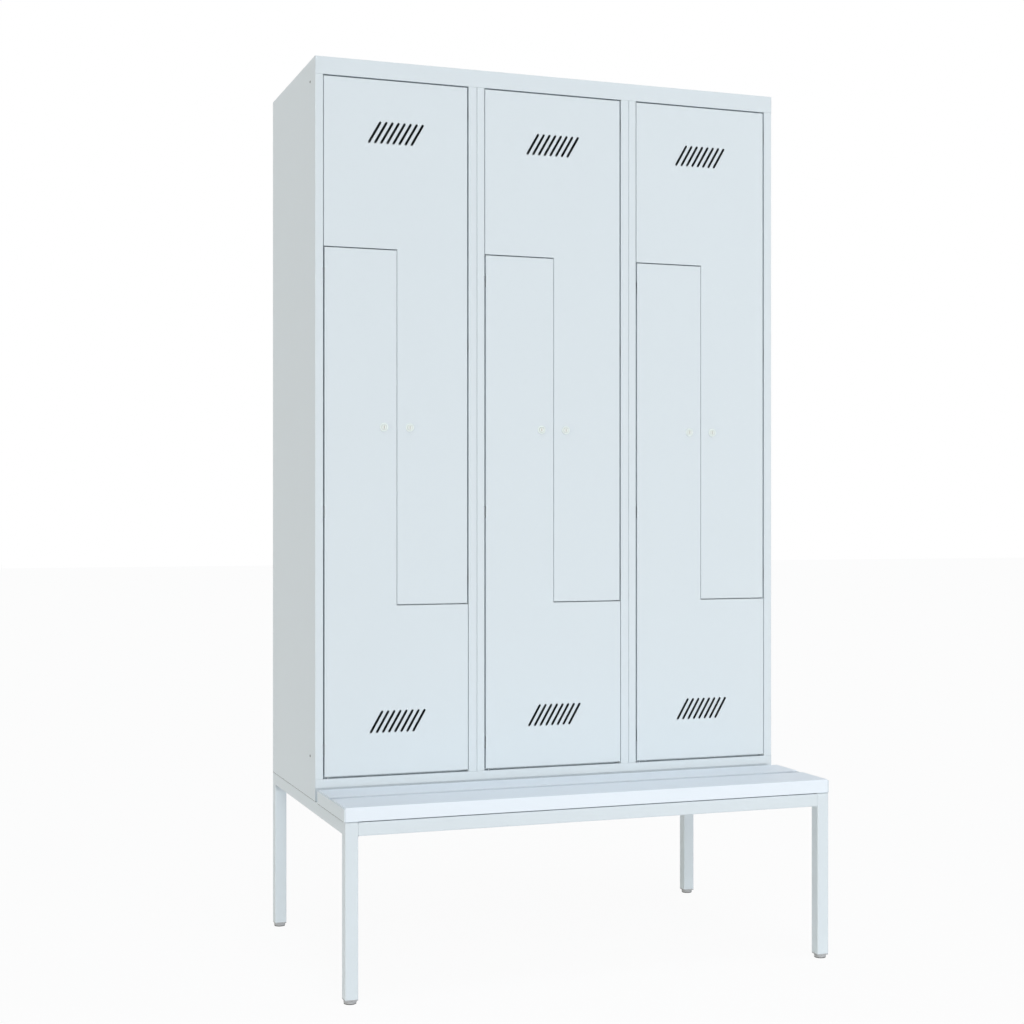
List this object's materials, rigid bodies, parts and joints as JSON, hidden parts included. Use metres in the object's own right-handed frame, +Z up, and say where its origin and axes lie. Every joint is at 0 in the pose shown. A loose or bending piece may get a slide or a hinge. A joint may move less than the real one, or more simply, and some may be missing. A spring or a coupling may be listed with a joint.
{
  "type": "changing room locker with bench",
  "caption": "Steel changing-room locker with interlocking L-shaped doors, vent slots and cam locks, on a square-tube frame with a slatted bench in front.",
  "frame": {"origin": "on the floor, under the middle of the whole unit's footprint", "axes": "+X along the front to the right, +Y from the bench to the back, +Z up"},
  "size_m": [1.204, 0.78, 2.15],
  "materials": {
    "painted_steel": "light grey powder coat, fine texture, satin",
    "seat_plastic": "white plastic slat, smooth",
    "nickel": "nickel plated lock",
    "zinc_plated_steel": "zinc plated",
    "grey_plastic": "grey moulded plastic"
  },
  "bodies": {
    "carcass": {"leg_front_left": "painted_steel", "leg_front_right": "painted_steel", "leg_rear_left": "painted_steel", "leg_rear_right": "painted_steel", "frame_front_rail": "painted_steel", "frame_middle_rail": "painted_steel", "frame_rear_rail": "painted_steel", "frame_left_rail": "painted_steel", "frame_right_rail": "painted_steel", "seat_bearer": "painted_steel", "seat_slat_front": "seat_plastic", "seat_slat_rear": "seat_plastic", "seat_end_strip_left": "painted_steel", "seat_end_strip_right": "painted_steel", "side_panel_left": "painted_steel", "side_panel_right": "painted_steel", "partition_1_left_sheet": "painted_steel", "partition_1_right_sheet": "painted_steel", "partition_2_left_sheet": "painted_steel", "partition_2_right_sheet": "painted_steel", "top_panel": "painted_steel", "bottom_panel": "painted_steel", "back_panel": "painted_steel", "z_divider_1": "painted_steel", "upper_coat_rail_1": "zinc_plated_steel", "lower_coat_rail_1": "zinc_plated_steel", "upper_hinge_rod_1": "zinc_plated_steel", "lower_hinge_rod_1": "zinc_plated_steel", "z_divider_2": "painted_steel", "upper_coat_rail_2": "zinc_plated_steel", "lower_coat_rail_2": "zinc_plated_steel", "upper_hinge_rod_2": "zinc_plated_steel", "lower_hinge_rod_2": "zinc_plated_steel", "z_divider_3": "painted_steel", "upper_coat_rail_3": "zinc_plated_steel", "lower_coat_rail_3": "zinc_plated_steel", "upper_hinge_rod_3": "zinc_plated_steel", "lower_hinge_rod_3": "zinc_plated_steel"},
    "foot_front_left": {"foot_front_left": "grey_plastic"},
    "foot_front_right": {"foot_front_right": "grey_plastic"},
    "foot_rear_left": {"foot_rear_left": "grey_plastic"},
    "foot_rear_right": {"foot_rear_right": "grey_plastic"},
    "upper_door_1": {"upper_door_1": "painted_steel", "upper_lock_barrel_1": "nickel"},
    "upper_lock_plug_1": {"upper_lock_plug_1": "nickel"},
    "lower_door_1": {"lower_door_1": "painted_steel", "lower_lock_barrel_1": "nickel"},
    "lower_lock_plug_1": {"lower_lock_plug_1": "nickel"},
    "upper_door_2": {"upper_door_2": "painted_steel", "upper_lock_barrel_2": "nickel"},
    "upper_lock_plug_2": {"upper_lock_plug_2": "nickel"},
    "lower_door_2": {"lower_door_2": "painted_steel", "lower_lock_barrel_2": "nickel"},
    "lower_lock_plug_2": {"lower_lock_plug_2": "nickel"},
    "upper_door_3": {"upper_door_3": "painted_steel", "upper_lock_barrel_3": "nickel"},
    "upper_lock_plug_3": {"upper_lock_plug_3": "nickel"},
    "lower_door_3": {"lower_door_3": "painted_steel", "lower_lock_barrel_3": "nickel"},
    "lower_lock_plug_3": {"lower_lock_plug_3": "nickel"}
  },
  "joints": [
    {"name": "foot_front_left_screw", "type": "slide", "parent": "carcass", "child": "foot_front_left", "axis": [0, 0, -1], "range_m": [0, 0.012]},
    {"name": "foot_front_right_screw", "type": "slide", "parent": "carcass", "child": "foot_front_right", "axis": [0, 0, -1], "range_m": [0, 0.012]},
    {"name": "foot_rear_left_screw", "type": "slide", "parent": "carcass", "child": "foot_rear_left", "axis": [0, 0, -1], "range_m": [0, 0.012]},
    {"name": "foot_rear_right_screw", "type": "slide", "parent": "carcass", "child": "foot_rear_right", "axis": [0, 0, -1], "range_m": [0, 0.012]},
    {"name": "upper_door_1_hinge", "type": "hinge", "parent": "carcass", "child": "upper_door_1", "pos_m": [-0.23275, -0.095, 1.28065], "axis": [0, 0, 1], "range_deg": [0, 95]},
    {"name": "upper_lock_1_turn", "type": "hinge", "parent": "upper_door_1", "child": "upper_lock_plug_1", "pos_m": [-0.369, -0.1, 1.28065], "axis": [0, 1, 0], "range_deg": [0, 90]},
    {"name": "lower_door_1_hinge", "type": "hinge", "parent": "carcass", "child": "lower_door_1", "pos_m": [-0.56925, -0.095, 1.28065], "axis": [0, 0, -1], "range_deg": [0, 95]},
    {"name": "lower_lock_1_turn", "type": "hinge", "parent": "lower_door_1", "child": "lower_lock_plug_1", "pos_m": [-0.433, -0.1, 1.28065], "axis": [0, -1, 0], "range_deg": [0, 90]},
    {"name": "upper_door_2_hinge", "type": "hinge", "parent": "carcass", "child": "upper_door_2", "pos_m": [0.16725, -0.095, 1.28065], "axis": [0, 0, 1], "range_deg": [0, 95]},
    {"name": "upper_lock_2_turn", "type": "hinge", "parent": "upper_door_2", "child": "upper_lock_plug_2", "pos_m": [0.031, -0.1, 1.28065], "axis": [0, 1, 0], "range_deg": [0, 90]},
    {"name": "lower_door_2_hinge", "type": "hinge", "parent": "carcass", "child": "lower_door_2", "pos_m": [-0.16925, -0.095, 1.28065], "axis": [0, 0, -1], "range_deg": [0, 95]},
    {"name": "lower_lock_2_turn", "type": "hinge", "parent": "lower_door_2", "child": "lower_lock_plug_2", "pos_m": [-0.033, -0.1, 1.28065], "axis": [0, -1, 0], "range_deg": [0, 90]},
    {"name": "upper_door_3_hinge", "type": "hinge", "parent": "carcass", "child": "upper_door_3", "pos_m": [0.56725, -0.095, 1.28065], "axis": [0, 0, 1], "range_deg": [0, 95]},
    {"name": "upper_lock_3_turn", "type": "hinge", "parent": "upper_door_3", "child": "upper_lock_plug_3", "pos_m": [0.431, -0.1, 1.28065], "axis": [0, 1, 0], "range_deg": [0, 90]},
    {"name": "lower_door_3_hinge", "type": "hinge", "parent": "carcass", "child": "lower_door_3", "pos_m": [0.23075, -0.095, 1.28065], "axis": [0, 0, -1], "range_deg": [0, 95]},
    {"name": "lower_lock_3_turn", "type": "hinge", "parent": "lower_door_3", "child": "lower_lock_plug_3", "pos_m": [0.367, -0.1, 1.28065], "axis": [0, -1, 0], "range_deg": [0, 90]}
  ]
}
